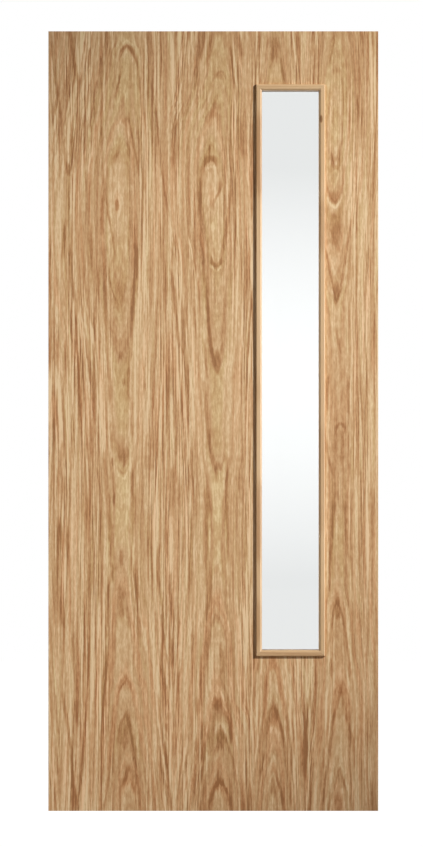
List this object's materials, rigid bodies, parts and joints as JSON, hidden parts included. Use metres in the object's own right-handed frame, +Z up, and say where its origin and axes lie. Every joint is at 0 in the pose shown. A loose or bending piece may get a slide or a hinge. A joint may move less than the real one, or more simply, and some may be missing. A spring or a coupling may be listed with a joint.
{
  "type": "interior door leaf",
  "caption": "Flat rectangular timber door leaf with veneered faces and a tall narrow glazed vision panel held by mitred beads, hung by its long edge to close an indoor doorway.",
  "frame": {"origin": "on the hinge edge, at the foot of the leaf and half way through its thickness", "axes": "+Z up the leaf, +X from the hinge edge to the lock edge, -Y out of the front face"},
  "size_m": [0.838, 0.059, 1.981],
  "materials": {
    "oak_veneer": "crown-cut oak veneer, satin lacquer",
    "oak_lipping": "straight-grained oak lipping, satin lacquer",
    "oak_bead": "straight-grained oak bead, satin lacquer",
    "fibreboard": "cut edge of thin fibreboard",
    "chipboard": "cut edge of chipboard",
    "softwood": "planed pale softwood",
    "glass": "clear flat glass",
    "glazing_tape": "grey foam glazing tape"
  },
  "bodies": {
    "root": {"chipboard_core": "chipboard", "hinge_stile": "softwood", "lock_stile": "softwood", "bottom_rail": "softwood", "top_rail": "softwood", "hinge_lipping": "oak_lipping", "lock_lipping": "oak_lipping", "front_skin": "fibreboard", "back_skin": "fibreboard", "front_veneer": "oak_veneer", "back_veneer": "oak_veneer", "glass_pane": "glass", "front_glazing_tape": "glazing_tape", "back_glazing_tape": "glazing_tape", "front_bead_hinge_side": "oak_bead", "front_bead_lock_side": "oak_bead", "front_bead_head": "oak_bead", "front_bead_foot": "oak_bead", "back_bead_hinge_side": "oak_bead", "back_bead_lock_side": "oak_bead", "back_bead_head": "oak_bead", "back_bead_foot": "oak_bead"}
  },
  "joints": []
}
